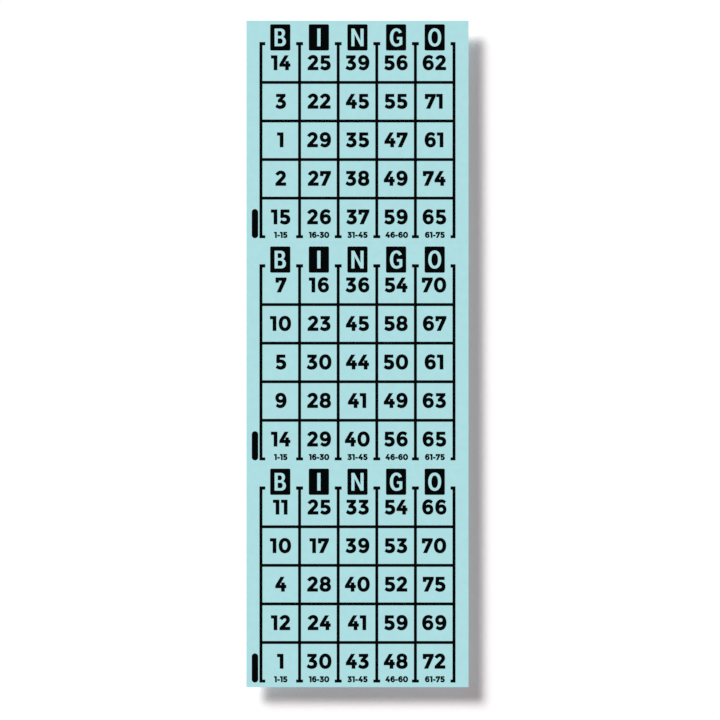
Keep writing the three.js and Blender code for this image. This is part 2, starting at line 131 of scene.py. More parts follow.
GLYPH_SHARES = {
    "0": Glyph(0.082, 0.821, 0.08, (oval(0, -0.016, 0.821, 1.01), oval(0.218, 0.178, 0.603, 0.822))),
    "1": Glyph(0.037, 0.409, 0.119, (
        ((0, 0.99), (0.409, 0.99), (0.409, 0), (0.192, 0), (0.192, 0.808), (0.005, 0.808)),
    )),
    "2": Glyph(0.068, 0.705, 0.074, (
        ((0, 0.8), (0.139, 1.018, 0.353, 1.018), (0.685, 1.018, 0.685, 0.705),
         (0.685, 0.593, 0.6, 0.49), (0.325, 0.192), (0.705, 0.192), (0.705, 0), (0, 0), (0, 0.155),
         (0.39, 0.56), (0.466, 0.64, 0.466, 0.7), (0.466, 0.822, 0.335, 0.822),
         (0.245, 0.822, 0.165, 0.695)),
    )),
    "3": Glyph(0.08, 0.69, 0.08, (
        ((0.034, 0.99), (0.65, 0.99), (0.65, 0.845), (0.43, 0.605), (0.69, 0.57, 0.69, 0.315),
         (0.69, -0.016, 0.3, -0.016), (0.12, -0.016, -0.01, 0.105), (0.085, 0.28),
         (0.175, 0.182, 0.285, 0.182), (0.466, 0.182, 0.466, 0.315), (0.466, 0.445, 0.28, 0.445),
         (0.155, 0.445), (0.155, 0.585), (0.37, 0.808), (0.034, 0.808)),
    )),
    "4": Glyph(0.056, 0.726, 0.057, (
        ((0.358, 0.99), (0.59, 0.99), (0.26, 0.425), (0.42, 0.425), (0.42, 0.595), (0.62, 0.595),
         (0.62, 0.425), (0.726, 0.425), (0.726, 0.24), (0.62, 0.24), (0.62, 0), (0.405, 0), (0.405, 0.24),
         (0, 0.24), (0, 0.39)),
    )),
    # A four with a wider notch, because spread ink would fill the other's on a range label
    "small 4": Glyph(0.056, 0.726, 0.057, (
        ((0.35, 0.99), (0.59, 0.99), (0.24, 0.425), (0.44, 0.425), (0.44, 0.53), (0.62, 0.53),
         (0.62, 0.425), (0.726, 0.425), (0.726, 0.24), (0.62, 0.24), (0.62, 0), (0.405, 0), (0.405, 0.24),
         (0, 0.24), (0, 0.39)),
    )),
    "5": Glyph(0.106, 0.68, 0.063, (
        ((0.04, 0.99), (0.615, 0.99), (0.615, 0.808), (0.238, 0.808), (0.232, 0.65), (0.31, 0.65),
         (0.68, 0.65, 0.68, 0.318), (0.68, -0.016, 0.3, -0.016), (0.13, -0.016, -0.008, 0.1),
         (0.085, 0.28), (0.18, 0.188, 0.28, 0.188), (0.455, 0.188, 0.455, 0.32),
         (0.455, 0.456, 0.265, 0.456), (0.17, 0.456, 0.1, 0.42), (0.02, 0.47)),
    )),
    "6": Glyph(0.094, 0.74, 0.074, (
        ((0.7, 0.9), (0.585, 1.016, 0.42, 1.016), (0, 1.016, 0, 0.485), (0, -0.01, 0.385, -0.01),
         (0.74, -0.01, 0.74, 0.33), (0.74, 0.667, 0.42, 0.667), (0.36, 0.667, 0.32, 0.652),
         (0.225, 0.6), (0.248, 0.715), (0.29, 0.83, 0.43, 0.83), (0.52, 0.83, 0.605, 0.745)),
        oval(0.237, 0.182, 0.541, 0.48),
    )),
    "7": Glyph(0.056, 0.727, 0.027, (
        ((0.005, 0.99), (0.727, 0.99), (0.727, 0.85), (0.34, 0), (0.095, 0), (0.455, 0.8), (0.203, 0.8),
         (0.203, 0.67), (0.005, 0.67)),
    )),
    "8": Glyph(0.076, 0.757, 0.072, (
        ((0.378, 1.016), (0.718, 1.016, 0.718, 0.735), (0.718, 0.6, 0.65, 0.525),
         (0.757, 0.445, 0.757, 0.285), (0.757, -0.016, 0.378, -0.016), (0, -0.016, 0, 0.285),
         (0, 0.445, 0.107, 0.525), (0.038, 0.6, 0.038, 0.735), (0.038, 1.016, 0.378, 1.016)),
        oval(0.238, 0.596, 0.518, 0.838),
        oval(0.218, 0.174, 0.538, 0.434),
    )),
    "9": Glyph(0.095, 0.74, 0.075, (
        ((0.035, 0.105), (0.155, -0.014, 0.32, -0.014), (0.74, -0.014, 0.74, 0.515),
         (0.74, 1.016, 0.355, 1.016), (0, 1.016, 0, 0.68), (0, 0.35, 0.32, 0.35),
         (0.38, 0.35, 0.42, 0.363), (0.515, 0.415), (0.492, 0.299), (0.45, 0.184, 0.31, 0.184),
         (0.22, 0.184, 0.13, 0.265)),
        oval(0.2, 0.536, 0.505, 0.826),
    )),
    "-": Glyph(0.07, 0.35, 0.07, (((0, 0.455), (0.35, 0.455), (0.35, 0.275), (0, 0.275)),)),
    "B": Glyph(0, 0.65, 0, (
        ((0, 1), (0.34, 1), (0.6, 1, 0.6, 0.745), (0.6, 0.6, 0.5, 0.53), (0.65, 0.46, 0.65, 0.28),
         (0.65, 0, 0.37, 0), (0, 0)),
        ((0.2, 0.83), (0.32, 0.83), (0.4, 0.83, 0.4, 0.715), (0.4, 0.6, 0.32, 0.6), (0.2, 0.6)),
        ((0.2, 0.43), (0.34, 0.43), (0.44, 0.43, 0.44, 0.3), (0.44, 0.17, 0.34, 0.17), (0.2, 0.17)),
    )),
    "I": Glyph(0, 0.21, 0, (((0, 1), (0.21, 1), (0.21, 0), (0, 0)),)),
    "N": Glyph(0, 0.7, 0, (
        ((0, 0), (0, 1), (0.19, 1), (0.5, 0.39), (0.5, 1), (0.7, 1), (0.7, 0), (0.51, 0), (0.2, 0.61),
         (0.2, 0)),
    )),
    "G": Glyph(0, 0.71, 0, (
        ((0.69, 0.77), (0.6, 1.016, 0.375, 1.016), (0, 1.016, 0, 0.5), (0, -0.016, 0.37, -0.016),
         (0.57, -0.016, 0.71, 0.12), (0.71, 0.54), (0.39, 0.54), (0.39, 0.37), (0.52, 0.37),
         (0.52, 0.21), (0.46, 0.165, 0.38, 0.165), (0.205, 0.165, 0.205, 0.5),
         (0.205, 0.835, 0.375, 0.835), (0.465, 0.835, 0.505, 0.7)),
    )),
    "O": Glyph(0, 0.74, 0, (oval(0, -0.016, 0.74, 1.016), oval(0.205, 0.17, 0.535, 0.83))),
}
ROUND_SHARE = 0.6  # how far a round stretch's handles reach towards the corner that it rounds
LETTER_EYES = {"B": ("b_upper_eye", "b_lower_eye"), "O": ("o_eye",)}  # the frame's nodes inside a letter

# Places that come from the frame
GRID_LOW, GRID_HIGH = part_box("middle_grid")
STOCK_LOW, STOCK_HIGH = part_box("card_middle")
PAPER_TOP = GRID_LOW.z
INK_TOP = GRID_HIGH.z
CARD_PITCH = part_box("top_grid")[0].y - GRID_LOW.y
CARD_HALF = CARD_PITCH / 2


def card_place(card):
    """How far a card's middle lies up the strip from the middle card's."""
    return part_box(f"{card}_grid")[0].y - GRID_LOW.y


def body_of(card):
    """The frame's body that holds a card."""
    return f"{card}_card"


class StockSettings(bpy.types.PropertyGroup):
    """The card stock and its perforated folds"""

    tint: FloatVectorProperty(
        name="Tint",
        description="Colour of the card stock",
        subtype="COLOR",
        min=0,
        max=1,
        default=(0.43, 0.752, 0.785),
    )
    cut_radius: FloatProperty(
        name="Cut Radius",
        description="Rounding of the edges that the knife leaves",
        unit="LENGTH",
        default=0.015 * MM,
    )
    slit_width: FloatProperty(
        name="Slit Width",
        description="Gap that the perforating blade leaves between two cards",
        unit="LENGTH",
        default=0.016 * MM,
    )
    tie_width: FloatProperty(
        name="Tie Width",
        description="Width of the paper left standing between two slits",
        unit="LENGTH",
        default=1.2 * MM,
    )
    tie_pitch: FloatProperty(
        name="Tie Pitch",
        description="Distance from one tie to the next",
        unit="LENGTH",
        default=6.35 * MM,
    )
    tie_reach: FloatProperty(
        name="Tie Reach",
        description="How far a tie runs into the card on each side of the fold",
        unit="LENGTH",
        default=0.1 * MM,
    )
    tie_bend: FloatProperty(
        name="Tie Bend",
        description="Half the stretch of a tie that bends when a card folds",
        unit="LENGTH",
        default=0.04 * MM,
    )
    tie_rise: FloatProperty(
        name="Tie Rise",
        description="How far a tie stands proud of the stock that it runs into",
        unit="LENGTH",
        default=0.004 * MM,
    )
    tie_steps: IntProperty(
        name="Tie Steps",
        description="Facets around the bend of a tie",
        default=16,
    )
    panel_steps: IntProperty(
        name="Panel Steps",
        description="Squares along each side of a card's faces",
        default=24,
    )


class PrintSettings(bpy.types.PropertyGroup):
    """The printed grid, numbers and title tiles"""

    ink: FloatVectorProperty(
        name="Ink",
        description="Colour of the printing ink",
        subtype="COLOR",
        min=0,
        max=1,
        default=(0.0006, 0.0009, 0.0011),
    )
    ink_spread: FloatProperty(
        name="Ink Spread",
        description="How far the ink runs out past its outline",
        unit="LENGTH",
        default=0.12 * MM,
    )
    figure_spread: FloatProperty(
        name="Figure Spread",
        description="How far the ink of the large numbers runs out past their outlines",
        unit="LENGTH",
        default=0.135 * MM,
    )
    film_edge: FloatProperty(
        name="Film Edge",
        description="Rounding of the ink film's upper edge",
        unit="LENGTH",
        default=0.012 * MM,
    )
    film_root: FloatProperty(
        name="Film Root",
        description="How deep the ink soaks into the stock",
        unit="LENGTH",
        default=0.02 * MM,
    )
    facet: FloatProperty(
        name="Facet",
        description="Length of a facet on a round stretch, which is shorter on the range labels",
        unit="LENGTH",
        default=0.28 * MM,
    )
    bar_width: FloatProperty(
        name="Bar Width",
        description="Width of the upright bars of the grid",
        unit="LENGTH",
        default=1.12 * MM,
    )
    rule_width: FloatProperty(
        name="Rule Width",
        description="Width of the rules across the grid",
        unit="LENGTH",
        default=1.1 * MM,
    )
    serif_reach: FloatProperty(
        name="Serif Reach",
        description="How far a serif stands out beside its bar",
        unit="LENGTH",
        default=0.9 * MM,
    )
    first_serif_reach: FloatProperty(
        name="First Serif Reach",
        description="How far the first bar's serif stands out",
        unit="LENGTH",
        default=1.3 * MM,
    )
    serif_rise: FloatProperty(
        name="Serif Rise",
        description="How far the serifs at the head stand above the open cells",
        unit="LENGTH",
        default=0.14 * MM,
    )
    numeral_height: FloatProperty(
        name="Numeral Height",
        description="Height of the numbers",
        unit="LENGTH",
        default=6.6 * MM,
    )
    numeral_rise: FloatProperty(
        name="Numeral Rise",
        description="How far the middle row's numbers sit above the middle of their cells",
        unit="LENGTH",
        default=0.23 * MM,
    )
    numeral_pitch_share: FloatProperty(
        name="Numeral Pitch Share",
        description="The numbers' column spacing, as a share of the bars'",
        default=0.993,
    )
    numeral_row_share: FloatProperty(
        name="Numeral Row Share",
        description="The numbers' row spacing, as a share of the rules'",
        default=0.999,
    )
    label_height: FloatProperty(
        name="Label Height",
        description="Height of the small figures at the foot of the columns",
        unit="LENGTH",
        default=2.55 * MM,
    )
    label_rise: FloatProperty(
        name="Label Rise",
        description="How far the small figures' foot is above the grid's",
        unit="LENGTH",
        default=0.12 * MM,
    )
    letter_margin: FloatProperty(
        name="Letter Margin",
        description="Ink above and below the letter of a title tile",
        unit="LENGTH",
        default=1.7 * MM,
    )
    tile_corner: FloatProperty(
        name="Tile Corner",
        description="Corner radius of a title tile",
        unit="LENGTH",
        default=0.5 * MM,
    )


class StageSettings(bpy.types.PropertyGroup):
    """The backdrop, the lights and the camera"""

    floor_drop: FloatProperty(
        name="Floor Drop",
        description="How far the backdrop lies below the strip",
        unit="LENGTH",
        default=7 * MM,
    )
    floor_size: FloatProperty(
        name="Floor Size",
        description="Side of the square backdrop",
        unit="LENGTH",
        default=12,
    )
    floor_glow: FloatProperty(
        name="Floor Glow",
        description="Light that the backdrop gives off",
        default=0.165,
    )
    floor_shade: FloatProperty(
        name="Floor Shade",
        description="How much of the light that falls on the backdrop it gives back",
        subtype="FACTOR",
        min=0,
        max=1,
        default=0.88,
    )
    shadow_right: FloatProperty(
        name="Shadow Right",
        description="How far the strip's shadow falls to the right",
        unit="LENGTH",
        default=7.4 * MM,
    )
    shadow_down: FloatProperty(
        name="Shadow Down",
        description="How far the strip's shadow falls towards the strip's foot",
        unit="LENGTH",
        default=8 * MM,
    )
    key_strength: FloatProperty(
        name="Key Strength",
        description="Strength of the key lamps together, in watts on a square metre",
        default=4.75,
    )
    lamp_width: FloatProperty(
        name="Lamp Width",
        description="Apparent width of each key lamp",
        subtype="ANGLE",
        default=math.radians(12),
    )
    lamp_step: FloatProperty(
        name="Lamp Step",
        description="How far apart the shadows of neighbouring key lamps fall, which softens the shadow",
        unit="LENGTH",
        default=2.1 * MM,
    )
    fill_strength: FloatProperty(
        name="Fill Strength",
        description="Strength of the even light from all round",
        default=0.15,
    )
    lens: FloatProperty(
        name="Lens",
        description="Focal length of the camera",
        unit="CAMERA",
        default=200,
    )
    view_width: FloatProperty(
        name="View Width",
        description="Width of the picture at the strip",
        unit="LENGTH",
        default=329.25 * MM,
    )
    view_right: FloatProperty(
        name="View Right",
        description="How far the picture's middle lies to the right of the strip's",
        unit="LENGTH",
        default=1.16 * MM,
    )
    view_up: FloatProperty(
        name="View Up",
        description="How far the picture's middle lies above the strip's",
        unit="LENGTH",
        default=-2.79 * MM,
    )


# Meshes

Shell = namedtuple("Shell", "points quads triangles")  # faces as rows of places in the points
FEWEST_FACETS = 2  # on any round stretch
EDGE_FACETS = 2  # around the rounded edge of a film or a panel
MEETING_SHARE = 0.01  # of a facet, the distance at which two points of a path are one
TILE_FACET_SHARE = 0.5  # of the other facets' length, on the small corners of a title tile
TIE_SQUARES = 3  # across a tie


def joined(shells):
    """One shell of several, with each one's faces counted on from the points before it."""
    starts = np.cumsum([0] + [len(shell.points) for shell in shells])
    return Shell(
        np.vstack([shell.points for shell in shells]),
        np.vstack([shell.quads + start for shell, start in zip(shells, starts)]),
        np.vstack([shell.triangles + start for shell, start in zip(shells, starts)]),
    )


def moved(shell, x, y):
    """A shell after a step across its card."""
    return shell._replace(points=shell.points + (x, y, 0))


def rings_of(sizes, levels):
    """Quads of a wall over closed paths: between ring k and k + 1, point i and its next one on the path.

    The rings of all levels lie one after the other, and each ring holds the paths of these sizes.
    """
    starts = np.cumsum([0, *sizes])
    here = np.arange(starts[-1])
    beyond = np.concatenate([start + (np.arange(n) + 1) % n for start, n in zip(starts, sizes)])
    ring = np.arange(levels - 1)[:, None] * starts[-1]
    corners = (ring + here, ring + beyond, ring + beyond + starts[-1], ring + here + starts[-1])
    return np.stack(corners, axis=-1).reshape(-1, 4)


def outward(path):
    """Unit steps out of a closed path, at the right of its way, mitred where two edges meet.

    With the edges' right-hand normals a and b at a point, the step is (a + b) / (1 + a . b).
    """
    edge = np.roll(path, -1, axis=0) - path
    edge = edge / np.linalg.norm(edge, axis=1)[:, None]
    after = np.stack([edge[:, 1], -edge[:, 0]], axis=-1)
    before = np.roll(after, 1, axis=0)
    return (before + after) / (1 + np.sum(before * after, axis=1))[:, None]


def anticlockwise(path):
    """The path with the area at its left, by the sign of the sum of its cross products."""
    x, y = path.T
    area = np.sum(x * np.roll(y, -1) - y * np.roll(x, -1))
    return path if area > 0 else path[::-1]


def round_stretch(start, corner, end, facet):
    """Points of a round stretch after its start.

    A cubic: its start, two handles and end are weighted by (1-t)^3, 3t(1-t)^2, 3(1-t)t^2 and t^3, and
    the handles lie on the way from the start and from the end to the corner.
    """
    steps = max(FEWEST_FACETS, round(np.linalg.norm(end - start) / facet))
    t = np.linspace(0, 1, steps + 1)[1:, None]
    leaving = start + ROUND_SHARE * (corner - start)
    coming = end + ROUND_SHARE * (corner - end)
    return (1 - t) ** 3 * start + 3 * t * (1 - t) ** 2 * leaving + 3 * (1 - t) * t**2 * coming + t**3 * end


def distinct(path, facet):
    """A closed path without the points that lie where the next one does."""
    apart = np.linalg.norm(np.roll(path, -1, axis=0) - path, axis=1) > facet * MEETING_SHARE
    return path[apart]


def path_of(outline, height, facet):
    """An outline of shares as a closed path at its height, with its foot's left end at zero."""
    points = [np.array([outline[0]], float) * height]
    for entry in outline[1:]:
        end = np.array(entry[-2:], float) * height
        if len(entry) == 2:
            points.append(end[None])
        else:
            corner = np.array(entry[:2], float) * height
            points.append(round_stretch(points[-1][-1], corner, end, facet))
    return distinct(np.vstack(points), facet)


def rectangle(left, foot, right, top):
    """A rectangle's four corners as an anticlockwise path."""
    return np.array([(left, foot), (right, foot), (right, top), (left, top)])


def round_rectangle(left, foot, right, top, radius, facet):
    """A rectangle with quarter circles for corners, each the centre + radius (cos a, sin a)."""
    steps = max(FEWEST_FACETS, round(math.pi / 2 * radius / facet))
    quarter = np.linspace(0, math.pi / 2, steps + 1)
    angle = (np.arange(4)[:, None] * math.pi / 2 + quarter).ravel()
    across = np.repeat([right - radius, left + radius, left + radius, right - radius], steps + 1)
    up = np.repeat([top - radius, top - radius, foot + radius, foot + radius], steps + 1)
    circles = np.stack([across + radius * np.cos(angle), up + radius * np.sin(angle)], axis=-1)
    return distinct(circles, facet)


FILL_AROUND_HOLES = 2  # the kind of Delaunay net that leaves the holes empty
FILL_MERGE = 1e-7  # in millimetres, the distance at which the net would join two points


def filled(paths):
    """Anticlockwise triangles that fill the first path around the others.

    They are a Delaunay net, in which no triangle's circle holds another point in sight of it, with
    every edge of the paths kept.
    """
    starts = np.cumsum([0] + [len(path) for path in paths])
    loops = [list(range(start, stop)) for start, stop in zip(starts, starts[1:])]
    points = [Vector(point) for point in np.vstack(paths) / MM]
    net = delaunay_2d_cdt(points, [], loops, FILL_AROUND_HOLES, FILL_MERGE)
    triangles, sources = net[2], net[3]
    if len(sources) != len(points):
        raise ValueError("two points of an outline meet")
    return np.array([source[0] for source in sources])[np.array(triangles)]


def film(outer, holes, print_settings, spread):
    """A film of ink: its outline, let out by the spread and carried up a wall, filled at both ends.

    The wall runs straight up from the root and then turns in by a quarter circle, by the film's edge
    times (1 - cos a) inwards and sin a upwards.
    """
    edge = print_settings.film_edge
    paths = [anticlockwise(outer)] + [anticlockwise(hole)[::-1] for hole in holes]
    steps = [outward(path) for path in paths]
    paths = [path + step * spread for path, step in zip(paths, steps)]
    flat, away = np.vstack(paths), np.vstack(steps)
    turn = np.linspace(0, math.pi / 2, EDGE_FACETS + 1)
    inset = np.concatenate([[0], edge * (1 - np.cos(turn))])
    height = np.concatenate([[PAPER_TOP - print_settings.film_root], INK_TOP - edge + edge * np.sin(turn)])
    across = flat - away * inset[:, None, None]
    up = np.broadcast_to(height[:, None, None], (*across.shape[:2], 1))
    points = np.concatenate([across, up], axis=-1).reshape(-1, 3)
    sizes = [len(path) for path in paths]
    fill = filled(paths)
    caps = np.vstack([fill[:, ::-1], fill + (len(height) - 1) * len(flat)])
    return Shell(points, rings_of(sizes, len(height)), caps)


def glyph_film(figure, height, print_settings, spread):
    """A figure's film, with its foot's left end at zero and its facets as long as its height asks."""
    facet = print_settings.facet * height / print_settings.numeral_height
    outer, *holes = [path_of(outline, height, facet) for outline in GLYPH_SHARES[figure].outlines]
    return film(outer, holes, print_settings, spread)


def line_of_figures(figures, middle, kerns):
    """Places of a line's figures for a height of 1, with their advance widths centred on its middle."""
    advances = np.array([sum(GLYPH_SHARES[figure][:3]) for figure in figures])
    advances[:-1] += [kerns.get(pair, 0) for pair in zip(figures, figures[1:])]
    pens = np.cumsum(advances) - advances - advances.sum() / 2 + middle
    return [(figure, pen + GLYPH_SHARES[figure].left) for figure, pen in zip(figures, pens)]


def lines_of_print(lines, height, print_settings, spread, kerns):
    """One shell of several lines of print, each given as its figures, its middle and its foot."""
    films = {}
    placed = []
    for figures, middle, foot in lines:
        for figure, across in line_of_figures(figures, middle / height, kerns):
            if figure not in films:
                films[figure] = glyph_film(figure, height, print_settings, spread)
            placed.append(moved(films[figure], across * height, foot))
    return joined(placed)


def panel(across, up, low, high, radius):
    """A panel of stock on a grid of places across and up, and how much of each point is a cut edge.

    Its two faces are the grid at the two heights. Their rims are joined by a wall whose profile rounds
    both edges by quarter circles: the radius times (1 - cos a) inwards, and sin a towards the faces.
    """
    columns, rows = len(across), len(up)
    x, y = np.meshgrid(across, up)
    face = np.stack([x.ravel(), y.ravel()], axis=-1)
    cell = np.arange(columns * rows).reshape(rows, columns)
    squares = np.stack([cell[:-1, :-1], cell[:-1, 1:], cell[1:, 1:], cell[1:, :-1]], axis=-1).reshape(-1, 4)
    rim = np.concatenate([cell[0, :-1], cell[:-1, -1], cell[-1, :0:-1], cell[:0:-1, 0]])
    turn = np.linspace(math.pi / 2, 0, EDGE_FACETS + 1)[1:]
    out = np.concatenate([np.cos(turn), np.cos(turn)[::-1]]) * radius
    down = radius * (1 - np.sin(turn))
    height = np.concatenate([high - down, (low + down)[::-1]])
    wall = face[rim] + outward(face[rim]) * out[:, None, None]
    wall = np.concatenate([wall, np.broadcast_to(height[:, None, None], (*wall.shape[:2], 1))], axis=-1)
    points = np.vstack([
        np.column_stack([face, np.full(len(face), high)]),
        np.column_stack([face, np.full(len(face), low)]),
        wall.reshape(-1, 3),
    ])
    faces = 2 * len(face)
    middle = rings_of([len(rim)], len(height))[:, ::-1] + faces
    after = np.roll(np.arange(len(rim)), -1)
    last = faces + (len(height) - 1) * len(rim)
    here = np.arange(len(rim))
    above = np.stack([faces + here, faces + after, rim[after], rim], axis=-1)
    below = np.stack([rim + len(face), rim[after] + len(face), last + after, last + here], axis=-1)
    quads = np.vstack([squares, squares[:, ::-1] + len(face), middle, above, below])
    cut = np.concatenate([np.zeros(faces), np.ones(len(wall.reshape(-1, 3)))])
    return Shell(points, quads, np.empty((0, 3), int)), cut


def new_piece(name, shell, material):
    """A mesh object of a shell, with its material."""
    mesh = bpy.data.meshes.new(name)
    mesh.from_pydata(shell.points.tolist(), [], shell.quads.tolist() + shell.triangles.tolist())
    mesh.validate()
    mesh.materials.append(material)
    piece = bpy.data.objects.new(name, mesh)
    bpy.context.scene.collection.objects.link(piece)
    return piece


# Materials


def add_node(tree, kind, inputs=None, **settings):
    """A node with its settings. An input is set to a value, or joined to another node's socket."""
    node = tree.nodes.new(kind)
    for name, value in settings.items():
        setattr(node, name, value)
    for name, value in (inputs or {}).items():
        if isinstance(value, bpy.types.NodeSocket):
            tree.links.new(value, node.inputs[name])
        else:
            node.inputs[name].default_value = value
    return node


def mixed(tree, share, low, high):
    """A colour between two, by a share."""
    mix = add_node(tree, "ShaderNodeMix", {0: share, 6: low, 7: high}, data_type="RGBA")
    return mix.outputs[2]


def ranged(tree, value, span, new_span):
    """A value's span carried to another span, and held inside it."""
    ends = ("From Min", "From Max", "To Min", "To Max")
    inputs = {"Value": value, **dict(zip(ends, (*span, *new_span)))}
    return add_node(tree, "ShaderNodeMapRange", inputs).outputs["Result"]


def shade(colour, share):
    """A colour times a share, with full alpha."""
    return (*(channel * share for channel in colour), 1)


CLOUD_SIZE = 3.5 * MM
FIBRE_LENGTH = 0.9 * MM
FIBRE_WIDTH = 0.13 * MM
TOOTH_SIZE = 0.2 * MM
FIBRE_TURNS = (0.3, 1.4, 2.4)  # radians that the lays of fibres are turned by
FIBRE_SPAN = (0.56, 0.8)  # of the lays' noise, from where a fibre begins to where it is whole
CLOUD_SPAN = (0.3, 0.7)  # of the clouds' noise, which hardly goes beyond it
WHOLE_SPAN = (0, 1)

CLOUD_SHADES = (0.975, 1.025)  # of the tint, in the darkest and the palest clouds
FIBRE_SHADE = 1.05  # of the tint, on a fibre
FIBRE_COVER = (0, 0.5)  # how far a fibre's shade covers the clouds
CUT_EDGE_PAINTED_SHADE = 0.86  # of the tint, on a cut edge: painted shade, since the key light and the floor's bounce light the edges brightly
CUT_PAINTED_SHADE_COVER = (0, 0.6)  # how far the painted shade on a cut edge covers the rest
STOCK_ROUGHNESS = (0.84, 0.92)
STOCK_TOOTH = 0.012 * MM

INK_FIBRE_SPAN = (0.3, 0.6)  # of the fibres under the ink, where it thins
INK_THINNING = (0, 0.002)  # how much of the stock shows through it there
INK_ROUGHNESS = (0.64, 0.72)
INK_TOOTH = 0.008 * MM


def paper_fibre_group():
    """A node group for felted paper: broad clouds, single fibres and the height of its tooth."""
    name = "paper_fibre"
    if name in bpy.data.node_groups:
        return bpy.data.node_groups[name]
    group = bpy.data.node_groups.new(name, "ShaderNodeTree")
    group.interface.new_socket("Vector", in_out="INPUT", socket_type="NodeSocketVector")
    show = group.interface.new_socket("Fibre Show", in_out="INPUT", socket_type="NodeSocketFloat")
    show.default_value = 1
    for label in ("Cloud", "Fibre", "Height"):
        group.interface.new_socket(label, in_out="OUTPUT", socket_type="NodeSocketFloat")
    given = add_node(group, "NodeGroupInput").outputs
    cloud = add_node(group, "ShaderNodeTexNoise", {
        "Vector": given["Vector"], "Scale": 1 / CLOUD_SIZE, "Detail": 4, "Roughness": 0.55,
    }).outputs["Fac"]
    lays = []
    for turn in FIBRE_TURNS:
        along = add_node(group, "ShaderNodeMapping", {
            "Vector": given["Vector"],
            "Rotation": (0, 0, turn),
            "Scale": (1 / FIBRE_LENGTH, 1 / FIBRE_WIDTH, 1 / FIBRE_WIDTH),
        }).outputs["Vector"]
        lays.append(add_node(group, "ShaderNodeTexNoise", {
            "Vector": along, "Scale": 1, "Detail": 1, "Distortion": 0.6,
        }).outputs["Fac"])
    top_lay = lays[0]
    for lay in lays[1:]:
        top_lay = add_node(group, "ShaderNodeMath", {0: top_lay, 1: lay}, operation="MAXIMUM").outputs[0]
    fibre = ranged(group, top_lay, FIBRE_SPAN, WHOLE_SPAN)
    shown = add_node(group, "ShaderNodeMath", {0: fibre, 1: given["Fibre Show"]}, operation="MULTIPLY")
    tooth = add_node(group, "ShaderNodeTexNoise", {
        "Vector": given["Vector"], "Scale": 1 / TOOTH_SIZE, "Detail": 3, "Roughness": 0.6,
    }).outputs["Fac"]
    height = add_node(group, "ShaderNodeMath", {0: tooth, 1: shown.outputs[0]}, operation="ADD")
    add_node(group, "NodeGroupOutput", {
        "Cloud": cloud, "Fibre": shown.outputs[0], "Height": height.outputs[0],
    })
    return group


def new_material(name):
    """A material with its node tree, its Principled shader and the paper fibre group on object places."""
    material = bpy.data.materials.new(name)
    material.use_nodes = True
    tree = material.node_tree
    places = add_node(tree, "ShaderNodeTexCoord").outputs["Object"]
    paper = add_node(tree, "ShaderNodeGroup", node_tree=paper_fibre_group())
    tree.links.new(places, paper.inputs["Vector"])
    return material, tree, tree.nodes["Principled BSDF"], paper


def card_stock_material():
    """Matt tinted stock: cloudy, with paler fibres, a fine tooth and cut edges darkened by painted shade.
    """
    name = "tinted_card_stock"
    if name in bpy.data.materials:
        return bpy.data.materials[name]
    tint = bpy.context.scene.strip_stock.tint
    material, tree, shader, paper = new_material(name)
    dark, pale = [shade(tint, share) for share in CLOUD_SHADES]
    cloudy = mixed(tree, ranged(tree, paper.outputs["Cloud"], CLOUD_SPAN, WHOLE_SPAN), dark, pale)
    fibre = ranged(tree, paper.outputs["Fibre"], WHOLE_SPAN, FIBRE_COVER)
    fibrous = mixed(tree, fibre, cloudy, shade(tint, FIBRE_SHADE))
    cut = add_node(tree, "ShaderNodeAttribute", attribute_name="cut_edge").outputs["Fac"]
    # Painted shade: the cut edges are darker than the tint, so the key light and the floor's bounce don't
    # leave them pale
    with_painted_edge_shade = mixed(tree, ranged(tree, cut, WHOLE_SPAN, CUT_PAINTED_SHADE_COVER), fibrous, shade(tint, CUT_EDGE_PAINTED_SHADE))
    tree.links.new(with_painted_edge_shade, shader.inputs["Base Color"])
    rough = ranged(tree, paper.outputs["Cloud"], CLOUD_SPAN, STOCK_ROUGHNESS)
    tree.links.new(rough, shader.inputs["Roughness"])
    bump = add_node(tree, "ShaderNodeBump", {
        "Strength": 0.35, "Distance": STOCK_TOOTH, "Height": paper.outputs["Height"],
    })
    tree.links.new(bump.outputs["Normal"], shader.inputs["Normal"])
    shader.inputs["Specular IOR Level"].default_value = 0.25
    return material


def ink_material():
    """Dry black ink: it lies on the same tooth, thins a little over the fibres and has a faint satin."""
    name = "printing_ink"
    if name in bpy.data.materials:
        return bpy.data.materials[name]
    ink, tint = bpy.context.scene.strip_print.ink, bpy.context.scene.strip_stock.tint
    material, tree, shader, paper = new_material(name)
    paper.inputs["Fibre Show"].default_value = 0.6
    thin = ranged(tree, paper.outputs["Fibre"], INK_FIBRE_SPAN, INK_THINNING)
    tree.links.new(mixed(tree, thin, shade(ink, 1), shade(tint, 1)), shader.inputs["Base Color"])
    rough = ranged(tree, paper.outputs["Cloud"], CLOUD_SPAN, INK_ROUGHNESS)
    tree.links.new(rough, shader.inputs["Roughness"])
    bump = add_node(tree, "ShaderNodeBump", {
        "Strength": 0.3, "Distance": INK_TOOTH, "Height": paper.outputs["Height"],
    })
    tree.links.new(bump.outputs["Normal"], shader.inputs["Normal"])
    shader.inputs["Specular IOR Level"].default_value = 0.024
    return material


GLOW = (1.19, 0.99, 1.02, 1)  # a little pink, against the aqua light that the stock's back throws down


def backdrop_material(share, glow):
    """Plain white backdrop that gives off a little light of its own."""
    material = bpy.data.materials.new("backdrop")
    material.use_nodes = True
    shader = material.node_tree.nodes["Principled BSDF"]
    shader.inputs["Base Color"].default_value = (share, share, share, 1)
    shader.inputs["Roughness"].default_value = 1
    shader.inputs["Specular IOR Level"].default_value = 0
    shader.inputs["Emission Color"].default_value = GLOW
    shader.inputs["Emission Strength"].default_value = glow
    return material


# Places on a card, from the card's middle


def grid_head(print_settings):
    """Height of the open cells' upper end, above which the serifs at the head stand."""
    return GRID_HIGH.y - print_settings.serif_rise


def row_pitch(print_settings):
    """Distance from one rule of the grid to the next."""
    return (grid_head(print_settings) - GRID_LOW.y - print_settings.rule_width) / ROWS


